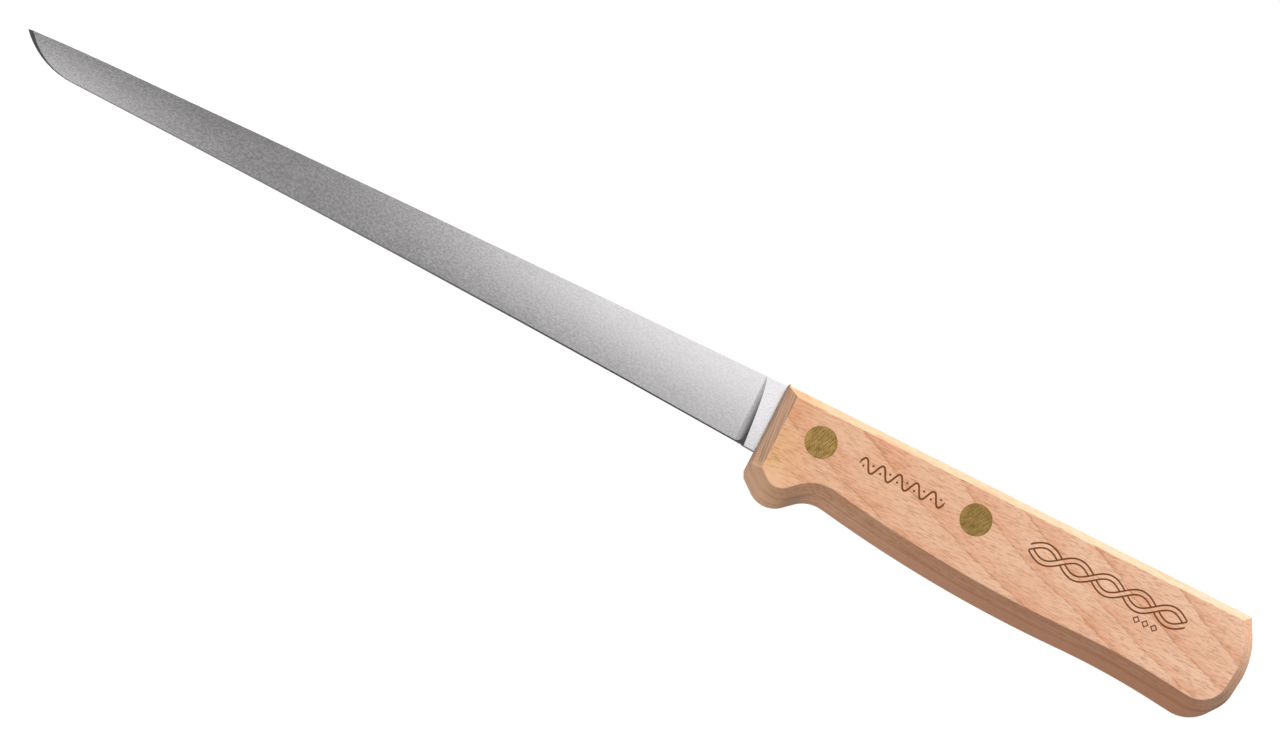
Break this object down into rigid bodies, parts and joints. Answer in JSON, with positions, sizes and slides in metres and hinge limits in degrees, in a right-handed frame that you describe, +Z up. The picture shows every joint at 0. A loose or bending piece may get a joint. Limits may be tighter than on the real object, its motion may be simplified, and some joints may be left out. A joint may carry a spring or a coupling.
{
  "type": "fillet knife",
  "caption": "Narrow, flexible knife for filleting fish: a tapering satin steel blade whose tang is riveted into a bevelled beech handle with flush brass rivets.",
  "frame": {"origin": "middle of the underside of the knife's box, as it lies on the flat side of its handle", "axes": "+X along the handle from the tip of the blade to the butt, +Y from the cutting edge to the spine, +Z up, square to the flat of the blade"},
  "size_m": [0.3326, 0.0286, 0.017],
  "materials": {
    "blade_steel": "satin ground",
    "beech": "sanded and oiled, pinkish steamed beech",
    "rivet_brass": "sanded flush, slightly dull"
  },
  "bodies": {
    "root": {"blade": "blade_steel", "handle": "beech", "front_rivet_stud": "rivet_brass", "front_rivet_socket": "rivet_brass", "rear_rivet_stud": "rivet_brass", "rear_rivet_socket": "rivet_brass"}
  },
  "joints": []
}
